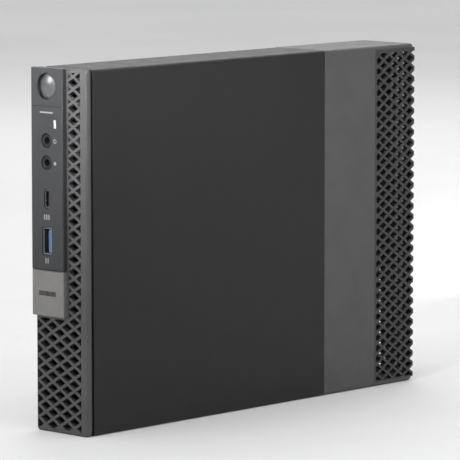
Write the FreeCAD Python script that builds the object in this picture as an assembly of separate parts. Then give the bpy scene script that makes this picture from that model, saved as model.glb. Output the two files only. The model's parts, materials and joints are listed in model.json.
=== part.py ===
import FreeCAD, Part
import math
import os

os.makedirs("parts", exist_ok=True)

V = FreeCAD.Vector

# Mini PC standing on its long edge, with a cable cover on its rear. All sizes are in mm.
# +Z is up, -Y is the front bezel, +X is the removable side cover, -X is the base with
# the feet. The origin is under the middle of the outline, at the height of its lower edge.

# ---- driving dimensions -------------------------------------------------------------
CASE_WIDTH = 36.0
CASE_DEPTH = 178.0
CASE_HEIGHT = 182.0
CABLE_COVER_DEPTH = 72.0
STRIP_PROUD = 3.0
SHEET = 1.0
GAP = 0.3

X_BASE = -CASE_WIDTH / 2
X_COVER = CASE_WIDTH / 2
Y_FRONT = -(CASE_DEPTH + CABLE_COVER_DEPTH) / 2
Y_REAR = Y_FRONT + CASE_DEPTH
Y_END = Y_REAR + CABLE_COVER_DEPTH
TOP = CASE_HEIGHT

# Front bezel
Y_BEZEL = Y_FRONT + STRIP_PROUD
BEZEL_THICK = 2.8
BEZEL_BACK = Y_BEZEL + BEZEL_THICK
SKIRT_INSET = 1.2
SKIRT_WALL = 1.6
SKIRT_BACK = Y_BEZEL + 4.6
LATTICE_MARGIN = 4.3
LATTICE_THIN = 0.9
CLIP_WIDTH = 6.0
CLIPS = [(14.5, 24.0), (14.5, 150.0), (-14.8, 24.0), (-14.8, 150.0)]

# Raised column on the bezel: ports above, badge below
STRIP_X = (X_BASE, X_BASE + 22.3)
STRIP_Z = (81.5, TOP)
BADGE_Z = (58.3, 81.3)
STRIP_WALL = 1.6
PORT_X = -7.0
BUTTON_Z = 172.8
BUTTON_RADIUS = 6.25
BUTTON_DOME = 14.0
BUTTON_STEM_END = -111.4
CELL_SEAM_Z = 163.0
LIGHT_X = -1.0
LIGHT_Z = 154.4
AUDIO_Z = {"upper": 146.0, "lower": 135.0}
LIGHT_LEG_Y = (-111.5, -109.5)
AUDIO_BORE = 1.8
JACK_BODY_Y = (-119.5, -109.0)
USB_C_Z = 117.0
USB_C_SHELL_END = -115.0
USB_C_BODY_Y = (-115.3, -108.5)
USB_A_Z = 96.0
USB_A_BACK = -108.0
SPEAKER_Y = (-114.6, -108.6)

# Chassis tray
FOOT_HEIGHT = 1.2
TRAY_X = X_BASE + FOOT_HEIGHT
TRAY_TOP_X = X_COVER - SHEET - 0.5
TRAY_Z = (SHEET + GAP, TOP - SHEET - GAP)
FRONT_WALL_Y = (SKIRT_BACK + 0.4, SKIRT_BACK + 0.4 + SHEET)
REAR_WALL_Y = (Y_REAR - 2.5, Y_REAR - 1.5)
INSERTS = [(-82.0, 41.0), (-82.0, 141.0), (18.0, 41.0), (18.0, 141.0)]
INSERT_BORE = 2.05
TONGUE_Z = (14.0, 160.0)

# System board
BOARD_X = (-11.6, -10.0)
BOARD_Y = (-112.0, 48.5)
BOARD_Z = (5.0, 177.0)
BOARD_TOP = BOARD_X[1]
POSTS = [(-108.0, 10.0), (-108.0, 161.0), (-32.0, 9.0), (-32.0, 173.0), (28.0, 9.0), (28.0, 173.0)]
MEMORY_BARS = (-70.0, -31.0)
MEMORY_Z = 124.0
SSD_Y = (-26.5, -4.5)
SSD_Z = (88.0, 168.0)
WLAN_Y = (6.0, 28.0)
WLAN_Z = (86.0, 118.0)
# Chips on the cards: centre along Y, centre along Z, size along Y, size along Z.
SSD_CHIPS = [(-15.5, 106.0, 13.0, 12.0), (-15.5, 124.0, 12.0, 17.0), (-15.5, 146.0, 12.0, 17.0)]
WLAN_CHIPS = [(17.0, 103.0, 16.0, 17.0)]
# Flat packages on the board: centre along Y, centre along Z, side, height.
CHIPS = [
    (-80.0, 48.0, 22.0, 1.5),
    (-60.0, 79.0, 7.0, 1.2),
    (-46.0, 170.0, 6.0, 1.2),
    (38.0, 157.0, 8.0, 1.2),
    (8.0, 166.0, 6.0, 1.2),
    (-20.0, 74.0, 6.0, 1.2),
]
COIN_YZ = (17.0, 146.0)
COIN_RADIUS = 10.0
CHIPSET_YZ = (-80.0, 48.0)

# Cooling
CPU_YZ = (-14.0, 42.0)
BLOWER_YZ = (-76.0, 42.0)
BLOWER_RADIUS = 31.0
BLOWER_X = (-3.0, 13.0)
BLOWER_EARS = [(-101.8, 65.1), (-101.8, 18.9), (-48.5, 76.3)]
INLET_RADIUS = 20.0
BLADES = 29
FIN_Y = (-44.0, 16.0)
FIN_TOP = 12.6
FIN_PITCH = 2.75
FIN_COUNT = 23
HEATSINK_X = (BOARD_TOP + 5.6, BOARD_TOP + 9.0)
HEATSINK_SCREWS = [(dy, dz) for dy in (-27.0, 27.0) for dz in (-27.0, 27.0)]

# Drive bay
DRIVE_X = (3.0, 10.0)
DRIVE_Y = (-104.0, -4.0)
DRIVE_Z = (92.0, 161.85)
RAIL_Y = (-110.0, 2.0)
RAIL_REACH = 4.6
DRIVE_PLUG_Z = 127.0

# Rear connectors: inner end along Y, then heights
REAR_USB_Y = 34.0
DISPLAY_Y = 35.0
LAN_Y = 33.0
DC_Y = 34.0
DC_Z = 17.0
LAN_Z = 34.0
REAR_USB_Z = (56.0, 76.0)
DISPLAY_Z = (100.0, 122.0)
OPTION_Z = 144.0
SCREW_XZ = (10.0, 150.0)
SCREW_HEAD_RADIUS = 5.2
KNURLS = 24
PADLOCK_Z = 172.0

# Cable cover
COLLAR_Y = (Y_REAR + GAP, 93.0)
COLLAR_WALL = 2.0
GRILLE_THICK = 3.0
CLAMP_Z = 91.0
CLAMP_Y = 60.0
GRILLE_Z = (COLLAR_WALL, TOP - COLLAR_WALL)
GRILLE_MESH = {"half_u": 4.2, "half_v": 2.85, "bar": 1.3}
CABLE_EXIT_Z = (5.0, 38.0)
CABLE_EXIT_Y = (96.0, 121.0)


# ---- small tools --------------------------------------------------------------------
def box(x, y, z):
    """Block between three (low, high) pairs."""
    return Part.makeBox(x[1] - x[0], y[1] - y[0], z[1] - z[0], V(x[0], y[0], z[0]))


def rod_x(radius, x, y, z):
    return Part.makeCylinder(radius, x[1] - x[0], V(x[0], y, z), V(1, 0, 0))


def rod_y(radius, x, y, z):
    return Part.makeCylinder(radius, y[1] - y[0], V(x, y[0], z), V(0, 1, 0))


def rod_z(radius, x, y, z):
    return Part.makeCylinder(radius, z[1] - z[0], V(x, y, z[0]), V(0, 0, 1))


def around(centre, size):
    """(low, high) pair of a length centred on a value."""
    return (centre - size / 2, centre + size / 2)


def inset(pair, amount):
    return (pair[0] + amount, pair[1] - amount)


def join(shapes):
    return shapes[0].multiFuse(shapes[1:]).removeSplitter()


def round_along(shape, direction, radius, wanted=None):
    """Round the straight edges that run along a direction."""
    edges = []
    for edge in shape.Edges:
        if len(edge.Vertexes) != 2:
            continue
        span = edge.Vertexes[1].Point - edge.Vertexes[0].Point
        aligned = abs(span.dot(direction)) > 0.999 * span.Length
        if aligned and (wanted is None or wanted(edge.CenterOfMass)):
            edges.append(edge)
    return shape.makeFillet(radius, edges)


def bevel(shape, size, wanted):
    """Chamfer the edges whose centre passes a test."""
    edges = [edge for edge in shape.Edges if wanted(edge.CenterOfMass)]
    return shape.makeChamfer(size, edges)


def save(name, shapes):
    """Write one node: one solid, or a group of separate solids."""
    if isinstance(shapes, list):
        shapes = Part.makeCompound(shapes)
    shapes.exportStep("parts/" + name + ".step")


# ---- diamond lattice ----------------------------------------------------------------
def on_plane(plane, level, u, v):
    """Point of a flat panel: 'xz' panels face Y, 'yz' panels face X."""
    if plane == "xz":
        return V(u, level, v)
    return V(level, u, v)


def flat_face(plane, level, corners):
    points = [on_plane(plane, level, u, v) for u, v in corners]
    return Part.Face(Part.makePolygon(points + points[:1]))


def rectangle(u, v):
    return [(u[0], v[0]), (u[1], v[0]), (u[1], v[1]), (u[0], v[1])]


def lattice_holes(plane, level, depth, field, first, half_u, half_v, bar):
    """Prisms for the staggered diamond openings that fall inside a field."""
    across = half_u * half_v / math.hypot(half_u, half_v)
    shrink = 1 - bar / 2 / across
    reach_u = half_u * shrink
    reach_v = half_v * shrink
    bounds = field.BoundBox
    u_low, u_high = (bounds.XMin, bounds.XMax) if plane == "xz" else (bounds.YMin, bounds.YMax)
    smallest = 1.2
    away = V(0, depth, 0) if plane == "xz" else V(depth, 0, 0)
    prisms = []
    first_column = math.floor((u_low - first[0]) / half_u) - 1
    last_column = math.ceil((u_high - first[0]) / half_u) + 1
    last_row = math.ceil((bounds.ZMax - first[1]) / (2 * half_v)) + 1
    for column in range(first_column, last_column + 1):
        for row in range(-2, last_row + 1):
            u = first[0] + column * half_u
            v = first[1] + (2 * row + column % 2) * half_v
            corners = [(u - reach_u, v), (u, v - reach_v), (u + reach_u, v), (u, v + reach_v)]
            clipped = flat_face(plane, level, corners).common(field)
            for face in clipped.Faces:
                if face.Area > smallest:
                    prisms.append(face.extrude(away))
    return prisms


# ---- front bezel --------------------------------------------------------------------
def front_bezel():
    front_edge = 0.6
    plate = box((X_BASE, X_COVER), (Y_BEZEL, BEZEL_BACK), (0, TOP))
    plate = round_along(plate, V(0, 1, 0), 1.5)
    plate = bevel(plate, front_edge, lambda c: abs(c.y - Y_BEZEL) < 0.01)
    right = X_COVER - LATTICE_MARGIN
    left = X_BASE + LATTICE_THIN
    divide = BADGE_Z[0] - 1.3
    low, high = 1.8, TOP - 1.8
    beside = STRIP_X[1] + 0.9
    outline = [(left, low), (right, low), (right, high), (beside, high), (beside, divide), (left, divide)]
    field = flat_face("xz", Y_BEZEL - 1, outline)
    holes = lattice_holes("xz", Y_BEZEL - 1, BEZEL_THICK + 2, field, (13.9, 3.4), 5.08, 3.125, 1.5)
    window = box(inset(STRIP_X, 1.9), (Y_BEZEL - 1, BEZEL_BACK + 1), inset(STRIP_Z, 1.9))
    plate = plate.cut(Part.makeCompound(holes + [window]))
    skirt_x = (X_BASE + GAP, X_COVER - SKIRT_INSET)
    skirt_z = inset((0, TOP), SKIRT_INSET)
    outer = box(skirt_x, (BEZEL_BACK, SKIRT_BACK), skirt_z)
    inner = box(inset(skirt_x, SKIRT_WALL), (BEZEL_BACK - 1, SKIRT_BACK + 1), inset(skirt_z, SKIRT_WALL))
    skirt = outer.cut(inner)
    clips = []
    for x, z in CLIPS:
        reach_z = around(z, CLIP_WIDTH)
        root = (x, skirt_x[1]) if x > 0 else (skirt_x[0], x)
        clips.append(box(root, (BEZEL_BACK, SKIRT_BACK), reach_z))
        clips.append(box(around(x, 1.6), (BEZEL_BACK, FRONT_WALL_Y[1] + 3.4), reach_z))
        clips.append(box((x, x + 1.9), (FRONT_WALL_Y[1] + 0.4, FRONT_WALL_Y[1] + 2.4), reach_z))
    return join([plate, skirt] + clips)


def io_strip():
    back = Y_BEZEL
    shell = box(STRIP_X, (Y_FRONT, back), STRIP_Z)
    shell = bevel(shell, 0.5, lambda c: abs(c.y - Y_FRONT) < 0.01)
    depth = (Y_FRONT + STRIP_WALL, back + 1)
    hollow = box(inset(STRIP_X, STRIP_WALL), depth, inset(STRIP_Z, STRIP_WALL))
    ends = (Y_FRONT - 1, Y_FRONT + STRIP_WALL + 1)
    cuts = [hollow, rod_y(BUTTON_RADIUS + 0.35, PORT_X, ends, BUTTON_Z)]
    cuts.append(box(around(LIGHT_X, 1.7), ends, around(LIGHT_Z, 4.3)))
    for z in AUDIO_Z.values():
        cuts.append(rod_y(3.75, PORT_X, ends, z))
    cuts.append(slot_block(around(PORT_X, 3.9), ends, around(USB_C_Z, 9.9)))
    cuts.append(box(around(PORT_X, 6.6), ends, around(USB_A_Z, 14.0)))
    seam = box((STRIP_X[0] - 1, STRIP_X[1] + 1), (Y_FRONT - 1, Y_FRONT + 0.4), around(CELL_SEAM_Z, 0.5))
    shell = shell.cut(cuts + [seam])
    return shell.cut(port_marks())


def slot_block(x, y, z):
    """Block whose ends are rounded over its thickness, as a USB-C opening is."""
    block = box(x, y, z)
    return round_along(block, V(0, 1, 0), (x[1] - x[0]) / 2 - 0.05)


def port_marks():
    """Generic inlaid marks beside the ports: a ring, a dot, and short bars."""
    deep = (Y_FRONT, Y_FRONT + 0.3)
    ring = rod_y(1.1, LIGHT_X, deep, AUDIO_Z["upper"])
    ring = ring.cut(rod_y(0.65, LIGHT_X, deep, AUDIO_Z["upper"]))
    marks = [ring, rod_y(0.9, LIGHT_X, deep, AUDIO_Z["lower"])]
    marks.append(box(around(PORT_X, 9.0), deep, around(CELL_SEAM_Z - 3.0, 0.7)))
    for port_z, count in ((108.0, 3), (86.2, 2)):
        for i in range(count):
            x = PORT_X + (i - (count - 1) / 2) * 1.5
            marks.append(box(around(x, 0.7), deep, around(port_z, 2.6)))
    return marks


def badge_mark():
    """One plain bar inlaid across the middle of the tile."""
    deep = (Y_FRONT, Y_FRONT + 0.4)
    x = (STRIP_X[0] + STRIP_X[1]) / 2
    z = (BADGE_Z[0] + BADGE_Z[1]) / 2
    return box(around(x, 12.0), deep, around(z, 2.4))


def badge_plate():
    tile = box(STRIP_X, (Y_FRONT, Y_BEZEL), BADGE_Z)
    tile = bevel(tile, 0.6, lambda c: abs(c.y - Y_FRONT) < 0.01)
    return tile.cut(badge_mark())


def power_button():
    """Domed cap, a collar that keeps it behind the strip, and the stem to the switch."""
    cap = rod_y(BUTTON_RADIUS, PORT_X, (Y_FRONT, Y_FRONT + 2.4), BUTTON_Z)
    ball = Part.makeSphere(BUTTON_DOME, V(PORT_X, Y_FRONT + BUTTON_DOME, BUTTON_Z))
    cap = cap.common(ball)
    collar = rod_y(BUTTON_RADIUS + 0.7, PORT_X, (Y_FRONT + 2.0, Y_FRONT + 3.0), BUTTON_Z)
    stem = rod_y(2.3, PORT_X, (Y_FRONT + 2.5, BUTTON_STEM_END), BUTTON_Z)
    return join([cap, collar, stem])


def light_pipe():
    """Clear bar behind the activity window, with a leg down to the board's lamp."""
    lens = box(around(LIGHT_X, 1.4), (Y_FRONT, LIGHT_LEG_Y[1]), around(LIGHT_Z, 4.0))
    leg = box((-9.0, LIGHT_X + 0.7), LIGHT_LEG_Y, around(LIGHT_Z, 4.0))
    return join([lens, leg])


def audio_jack(z):
    """3.5 mm headset socket: round mouth, square body, blind bore."""
    mouth = rod_y(3.45, PORT_X, (Y_FRONT + 0.5, JACK_BODY_Y[0] + 0.5), z)
    body = box(around(PORT_X, 6.0), JACK_BODY_Y, around(z, 6.6))
    bore = rod_y(AUDIO_BORE, PORT_X, (Y_FRONT - 1, JACK_BODY_Y[1] - 1.5), z)
    return join([mouth, body]).cut(bore)


def usb_c_shell():
    """Oval metal shell with its body and foot behind the board's edge."""
    y = (Y_FRONT + 0.6, USB_C_SHELL_END)
    shell = slot_block(around(PORT_X, 3.3), y, around(USB_C_Z, 9.1))
    hollow = slot_block(around(PORT_X, 2.6), (y[0] - 1, y[1] - 0.8), around(USB_C_Z, 8.4))
    foot = box((BOARD_TOP, PORT_X - 1.2), USB_C_BODY_Y, around(USB_C_Z, 8.6))
    rear = box(around(PORT_X, 3.2), USB_C_BODY_Y, around(USB_C_Z, 8.6))
    return join([shell.cut(hollow), rear, foot])


def usb_c_tongue():
    return box(around(PORT_X, 0.7), (Y_FRONT + 1.6, USB_C_SHELL_END - 0.8), around(USB_C_Z, 6.4))


def usb_shell(x, z, y, wide, tall, wall, open_low):
    """Metal shell of a USB-A socket with its mouth at the low or the high end of y."""
    outer = box(around(x, tall), y, around(z, wide))
    mouth = (y[0] - 1, y[1] - wall) if open_low else (y[0] + wall, y[1] + 1)
    return outer.cut(box(around(x, tall - 2 * wall), mouth, around(z, wide - 2 * wall)))


# ---- chassis ------------------------------------------------------------------------
def front_wall_cuts():
    """Openings for the sockets, the stem, the bezel's clips and the intake air."""
    y = (FRONT_WALL_Y[0] - 1, FRONT_WALL_Y[1] + 1)
    cuts = [rod_y(3.1, PORT_X, y, BUTTON_Z)]
    cuts.append(box(around(LIGHT_X, 2.6), y, around(LIGHT_Z, 5.2)))
    for z in AUDIO_Z.values():
        cuts.append(box(around(PORT_X, 7.4), y, around(z, 7.8)))
    cuts.append(box(around(PORT_X, 4.6), y, around(USB_C_Z, 10.4)))
    cuts.append(box(around(PORT_X, 6.8), y, around(USB_A_Z, 14.2)))
    for x, z in CLIPS:
        cuts.append(box((x - 1.2, x + 2.2), y, around(z, 7.0)))
    for column in (-11.0, -3.5, 4.0, 9.6):
        for row in range(4):
            cuts.append(box(around(column, 4.4), y, around(9.4 + row * 12.6, 9.6)))
    for row in range(9):
        cuts.append(box(around(8.4, 4.4), y, around(68.0 + row * 12.6, 9.6)))
    return cuts


def rear_wall_cuts():
    """Openings for the connectors, the cover's screw, the locks and the exhaust air."""
    y = (REAR_WALL_Y[0] - 1, REAR_WALL_Y[1] + 1)
    cuts = [rod_y(5.0, PORT_X + 1.5, y, DC_Z)]
    cuts.append(box((-10.2, 4.2), y, around(LAN_Z, 16.6)))
    for z in REAR_USB_Z:
        cuts.append(box((-10.2, 6.2), y, around(z, 14.0)))
    for z in DISPLAY_Z:
        cuts.append(box((-9.6, -3.6), y, around(z, 17.0)))
    cuts.append(box((-9.0, 1.0), y, around(OPTION_Z, 16.0)))
    cuts.append(rod_y(3.0, SCREW_XZ[0], y, SCREW_XZ[1]))
    cuts.append(box(around(-6.0, 3.2), y, around(PADLOCK_Z, 7.2)))
    for z in TONGUE_Z:
        cuts.append(box((-15.9, -13.5), y, around(z, 15.0)))
    for row in range(6):
        cuts.append(box(around(11.2, 5.0), y, around(12.0 + row * 13.2, 10.0)))
    for x in (-1.2, 3.4):
        for row in range(2):
            cuts.append(box(around(x, 2.4), y, around(95.0 + row * 27.0, 9.0)))
    return cuts


def chassis_base():
    """Long channel of folded sheet: the base and the two narrow sides."""
    skin = (TRAY_X, TRAY_X + SHEET)
    rise = (TRAY_X, TRAY_TOP_X)
    length = (FRONT_WALL_Y[0], Y_REAR)
    channel = join([
        box(skin, length, TRAY_Z),
        box(rise, length, (TRAY_Z[0], TRAY_Z[0] + SHEET)),
        box(rise, length, (TRAY_Z[1] - SHEET, TRAY_Z[1])),
    ])
    channel = round_along(channel, V(0, 1, 0), 0.9, lambda c: c.x < TRAY_X + 0.1)
    return channel.cut([rod_x(2.75, (skin[0] - 1, skin[1] + 1), y, z) for y, z in INSERTS])


def chassis_front_panel():
    panel = box((TRAY_X + SHEET, TRAY_TOP_X), FRONT_WALL_Y, inset(TRAY_Z, SHEET))
    return panel.cut(front_wall_cuts())


def chassis_rear_panel():
    """Connector panel, with the slotted lug that the cable cover's clamp closes on."""
    panel = box((TRAY_X + SHEET, TRAY_TOP_X), REAR_WALL_Y, inset(TRAY_Z, SHEET))
    lug = box((-14.2, -13.0), (REAR_WALL_Y[0], CLAMP_Y + 8.0), around(CLAMP_Z, 15.0))
    slot = box((-15.0, -12.0), (CLAMP_Y, CLAMP_Y + 9.0), around(CLAMP_Z, 4.6))
    lug = lug.cut([slot, rod_x(2.3, (-15.0, -12.0), CLAMP_Y, CLAMP_Z)])
    return join([panel.cut(rear_wall_cuts()), lug])


def padlock_loop():
    plate = box((-1.0, 14.0), (REAR_WALL_Y[1], REAR_WALL_Y[1] + 13.0), around(PADLOCK_Z, 2.0))
    plate = round_along(plate, V(0, 0, 1), 5.0, lambda c: c.y > REAR_WALL_Y[1] + 5)
    return plate.cut(rod_z(3.6, 6.5, REAR_WALL_Y[1] + 6.8, (PADLOCK_Z - 3, PADLOCK_Z + 3)))


def mounting_inserts():
    """Pressed threaded inserts that a mounting plate screws into."""
    nuts = []
    for y, z in INSERTS:
        body = rod_x(3.9, (TRAY_X + SHEET, TRAY_X + SHEET + 2.6), y, z)
        neck = rod_x(2.75, (TRAY_X, TRAY_X + SHEET), y, z)
        nuts.append(join([body, neck]).cut(rod_x(INSERT_BORE, (TRAY_X - 1, TRAY_X + 5), y, z)))
    return nuts


def rubber_feet():
    feet = []
    for y in (-100.0, 36.0):
        for z in (16.0, 166.0):
            foot = rod_x(6.5, (X_BASE, TRAY_X), y, z)
            feet.append(bevel(foot, 0.5, lambda c: abs(c.x - X_BASE) < 0.01))
    return feet


def thumbscrew():
    """Knurled head with a slot for a screwdriver, and a shank in the rear wall's bush."""
    x, z = SCREW_XZ
    head_y = (Y_REAR + 0.2, Y_REAR + 5.2)
    head = rod_y(SCREW_HEAD_RADIUS, x, head_y, z)
    reach = SCREW_HEAD_RADIUS + 0.1
    groove_y = (head_y[0] + 0.8, head_y[1] + 1)
    grooves = []
    for i in range(KNURLS):
        angle = 2 * math.pi * i / KNURLS
        grooves.append(rod_y(0.4, x + reach * math.cos(angle), groove_y, z + reach * math.sin(angle)))
    grooves.append(box(around(x, 1.2), (head_y[1] - 1.4, head_y[1] + 1), around(z, 12.0)))
    shank = rod_y(1.5, x, (REAR_WALL_Y[0] - 4.0, head_y[0]), z)
    return join([head.cut(grooves), shank])


def thumbscrew_bush():
    x, z = SCREW_XZ
    body = rod_y(4.2, x, (REAR_WALL_Y[0] - 3.0, REAR_WALL_Y[0]), z)
    neck = rod_y(3.0, x, REAR_WALL_Y, z)
    return join([body, neck]).cut(rod_y(1.8, x, (REAR_WALL_Y[0] - 5, REAR_WALL_Y[1] + 1), z))


def side_cover():
    """Folded sheet: large outer face, two long flanges and a notched lip at the rear."""
    depth = (SKIRT_BACK + 0.2, Y_REAR)
    outer = box((TRAY_X + 1.8, X_COVER), depth, (0, TOP))
    outer = round_along(outer, V(0, 1, 0), 1.6, lambda c: c.x > X_COVER - 0.1)
    hollow = box((TRAY_X, X_COVER - SHEET), (depth[0] - 1, depth[1] + 1), (SHEET, TOP - SHEET))
    hollow = round_along(hollow, V(0, 1, 0), 0.6, lambda c: c.x > X_COVER - SHEET - 0.1)
    sheet = outer.cut(hollow)
    lip_y = (REAR_WALL_Y[1] + GAP, REAR_WALL_Y[1] + GAP + SHEET)
    lip = box((4.8, X_COVER - 0.5), lip_y, around(SCREW_XZ[1], 16.0))
    notch_r = 2.2
    notch = join([
        rod_y(notch_r, SCREW_XZ[0], (lip_y[0] - 1, lip_y[1] + 1), SCREW_XZ[1]),
        box((4.0, SCREW_XZ[0]), (lip_y[0] - 1, lip_y[1] + 1), around(SCREW_XZ[1], 2 * notch_r)),
    ])
    return join([sheet, lip.cut(notch)])


# ---- system board and what stands on it ---------------------------------------------
def system_board():
    board = box(BOARD_X, BOARD_Y, BOARD_Z)
    holes = [rod_x(1.7, (BOARD_X[0] - 1, BOARD_X[1] + 1), y, z) for y, z in POSTS]
    corner = box((BOARD_X[0] - 1, BOARD_X[1] + 1), (BOARD_Y[0] - 1, -98.0), (BOARD_Z[0] - 1, 6.0))
    return board.cut(holes + [corner])


def board_posts():
    posts = []
    for y, z in POSTS:
        post = rod_x(2.7, (TRAY_X + SHEET, BOARD_X[0]), y, z)
        posts.append(post.cut(rod_x(1.6, (TRAY_X + SHEET + 0.6, BOARD_X[0] + 1), y, z)))
    return posts


def board_screws():
    screws = []
    for y, z in POSTS:
        head = rod_x(2.8, (BOARD_TOP, BOARD_TOP + 1.8), y, z)
        head = bevel(head, 0.5, lambda c: abs(c.x - BOARD_TOP - 1.8) < 0.01)
        shank = rod_x(1.5, (BOARD_X[0] - 3.0, BOARD_TOP), y, z)
        drive = [
            box((BOARD_TOP + 0.9, BOARD_TOP + 3), around(y, 2.6), around(z, 0.6)),
            box((BOARD_TOP + 0.9, BOARD_TOP + 3), around(y, 0.6), around(z, 2.6)),
        ]
        screws.append(join([head, shank]).cut(drive))
    return screws


def on_board(height, y, z):
    """Block standing on the board's face."""
    return box((BOARD_TOP, BOARD_TOP + height), y, z)


def processor_socket():
    y, z = CPU_YZ
    body = on_board(4.6, around(y, 46.0), around(z, 46.0))
    well = box((BOARD_TOP + 2.0, BOARD_TOP + 5.0), around(y, 38.2), around(z, 38.2))
    return body.cut(well)


def processor():
    y, z = CPU_YZ
    base = box((BOARD_TOP + 2.0, BOARD_TOP + 3.2), around(y, 37.5), around(z, 37.5))
    lid = box((BOARD_TOP + 3.2, BOARD_TOP + 5.6), around(y, 31.0), around(z, 31.0))
    lid = round_along(lid, V(1, 0, 0), 2.0)
    return join([base, lid])


def heatsink():
    """Aluminium block: a thick plate with upright fins in line with the blower."""
    y, z = CPU_YZ
    plate = box(HEATSINK_X, FIN_Y, around(z, 64.0))
    fins = []
    for i in range(FIN_COUNT):
        fin_z = z + (i - (FIN_COUNT - 1) / 2) * FIN_PITCH
        fins.append(box((HEATSINK_X[1] - 0.1, FIN_TOP), inset(FIN_Y, 0.5), around(fin_z, 0.7)))
    solid = join([plate] + fins)
    wells = []
    for dy, dz in HEATSINK_SCREWS:
        wells.append(rod_x(3.9, (HEATSINK_X[1], 20.0), y + dy, z + dz))
        wells.append(rod_x(1.9, (HEATSINK_X[0] - 1, 20.0), y + dy, z + dz))
    return solid.cut(wells)


def heatsink_screws():
    """Four captive screws with their coil springs drawn as sleeves."""
    y, z = CPU_YZ
    screws = []
    for dy, dz in HEATSINK_SCREWS:
        head = rod_x(3.2, (4.4, 6.4), y + dy, z + dz)
        sleeve = rod_x(2.6, (HEATSINK_X[1], 4.4), y + dy, z + dz)
        shank = rod_x(1.5, (BOARD_TOP, HEATSINK_X[1]), y + dy, z + dz)
        cross = box((5.4, 7.0), around(y + dy, 3.4), around(z + dz, 0.7))
        screws.append(join([head, sleeve, shank]).cut(cross))
    return screws


def blower_housing():
    """Square-mouthed blower: air enters both flat sides and leaves through the fins."""
    y, z = BLOWER_YZ
    wall = 1.2
    outlet = (y, FIN_Y[0] - 0.5)
    outer = join([
        rod_x(BLOWER_RADIUS, BLOWER_X, y, z),
        box(BLOWER_X, outlet, around(z, 2 * BLOWER_RADIUS)),
    ])
    hollow_x = inset(BLOWER_X, wall)
    hollow = join([
        rod_x(BLOWER_RADIUS - wall, hollow_x, y, z),
        box(hollow_x, (y, outlet[1] + 1), around(z, 2 * (BLOWER_RADIUS - wall))),
    ])
    shell = outer.cut(hollow)
    inlet = rod_x(INLET_RADIUS, (BLOWER_X[0] - 1, BLOWER_X[1] + 1), y, z)
    shell = shell.cut(inlet)
    spokes = [rod_x(11.0, (BLOWER_X[0], BLOWER_X[0] + wall), y, z)]
    for i in range(3):
        arm = box((BLOWER_X[0], BLOWER_X[0] + wall), (y, y + 21.0), around(z, 5.0))
        arm.rotate(V(0, y, z), V(1, 0, 0), 120 * i + 30)
        spokes.append(arm)
    ears = []
    for ear_y, ear_z in BLOWER_EARS:
        ears.append(rod_x(3.6, (BLOWER_X[0], BLOWER_X[0] + 2.0), ear_y, ear_z))
    holes = [rod_x(1.8, (BLOWER_X[0] - 1, BLOWER_X[0] + 4), ey, ez) for ey, ez in BLOWER_EARS]
    keep = rod_x(BLOWER_RADIUS - wall, hollow_x, y, z)
    return join([shell] + spokes + [ear.cut(keep) for ear in ears]).cut(holes)


def blower_screws():
    screws = []
    for y, z in BLOWER_EARS:
        post = rod_x(2.6, (BOARD_TOP, BLOWER_X[0]), y, z)
        shank = rod_x(1.5, (BLOWER_X[0], BLOWER_X[0] + 2.0), y, z)
        head = rod_x(2.9, (BLOWER_X[0] + 2.0, BLOWER_X[0] + 3.8), y, z)
        screws.append(join([post, shank, head]))
    return screws


def blower_motor():
    y, z = BLOWER_YZ
    stator = rod_x(9.0, (BLOWER_X[0] + 1.2, 5.4), y, z)
    shaft = rod_x(1.2, (5.4, 7.0), y, z)
    return join([stator, shaft])


def impeller():
    """Hub cup, a disc with spokes, and swept blades tied by an outer ring."""
    y, z = BLOWER_YZ
    cup = rod_x(12.5, (BLOWER_X[0] + 2.0, 9.5), y, z)
    cup = cup.cut(rod_x(10.0, (BLOWER_X[0] + 1.0, 7.6), y, z))
    disc = rod_x(26.5, (2.0, 3.0), y, z).cut(rod_x(11.0, (1.0, 4.0), y, z))
    blades = []
    for i in range(BLADES):
        blade = box((BLOWER_X[0] + 2.2, 10.4), (y + 19.5, y + 27.6), around(z, 0.7))
        blade.rotate(V(0, y + 23.5, z), V(1, 0, 0), 38)
        blade.rotate(V(0, y, z), V(1, 0, 0), 360 * i / BLADES)
        blades.append(blade)
    ring = rod_x(27.2, (9.6, 10.4), y, z).cut(rod_x(23.5, (9.0, 11.0), y, z))
    spokes = []
    for i in range(5):
        spoke = box((2.0, 3.0), (y + 11.5, y + 20.0), around(z, 4.0))
        spoke.rotate(V(0, y, z), V(1, 0, 0), 72 * i)
        spokes.append(spoke)
    return join([cup, disc, ring] + spokes + blades)


def memory_sockets():
    sockets = []
    for bar_y in MEMORY_BARS:
        bar = on_board(5.0, around(bar_y, 6.2), around(MEMORY_Z, 73.0))
        slit = box((-7.7, -6.5), (bar_y - 4.0, bar_y - 1.4), around(MEMORY_Z, 68.2))
        arms = []
        for side in (-1, 1):
            arms.append(on_board(4.2, (bar_y - 26.0, bar_y - 3.0), around(MEMORY_Z + side * 35.4, 2.2)))
        sockets.append(join([bar] + arms).cut(slit))
    return sockets


def memory_modules():
    modules = []
    for bar_y in MEMORY_BARS:
        card_y = (bar_y - 31.6, bar_y - 1.6)
        card = box((-7.6, -6.6), card_y, around(MEMORY_Z, 67.6))
        chips = []
        for i in range(4):
            z = MEMORY_Z + (i - 1.5) * 16.0
            chips.append(box((-6.7, -5.5), (card_y[0] + 8.0, card_y[0] + 20.0), around(z, 10.0)))
        notch = box((-8.0, -6.0), (card_y[1] - 3.5, card_y[1] + 1), around(MEMORY_Z + 9.0, 1.6))
        modules.append(join([card] + chips).cut(notch))
    return modules


def card_on_board(y, z, chips):
    """M.2 card standing off the board, its gold edge at the low end of z."""
    solids = [box((-7.5, -6.7), y, (z[0] + 1.2, z[1]))]
    for centre_y, centre_z, wide, tall in chips:
        solids.append(box((-6.8, -5.4), around(centre_y, wide), around(centre_z, tall)))
    middle = (y[0] + y[1]) / 2
    return join(solids).cut(rod_x(1.9, (-9.0, -5.0), middle, z[1]))


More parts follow.
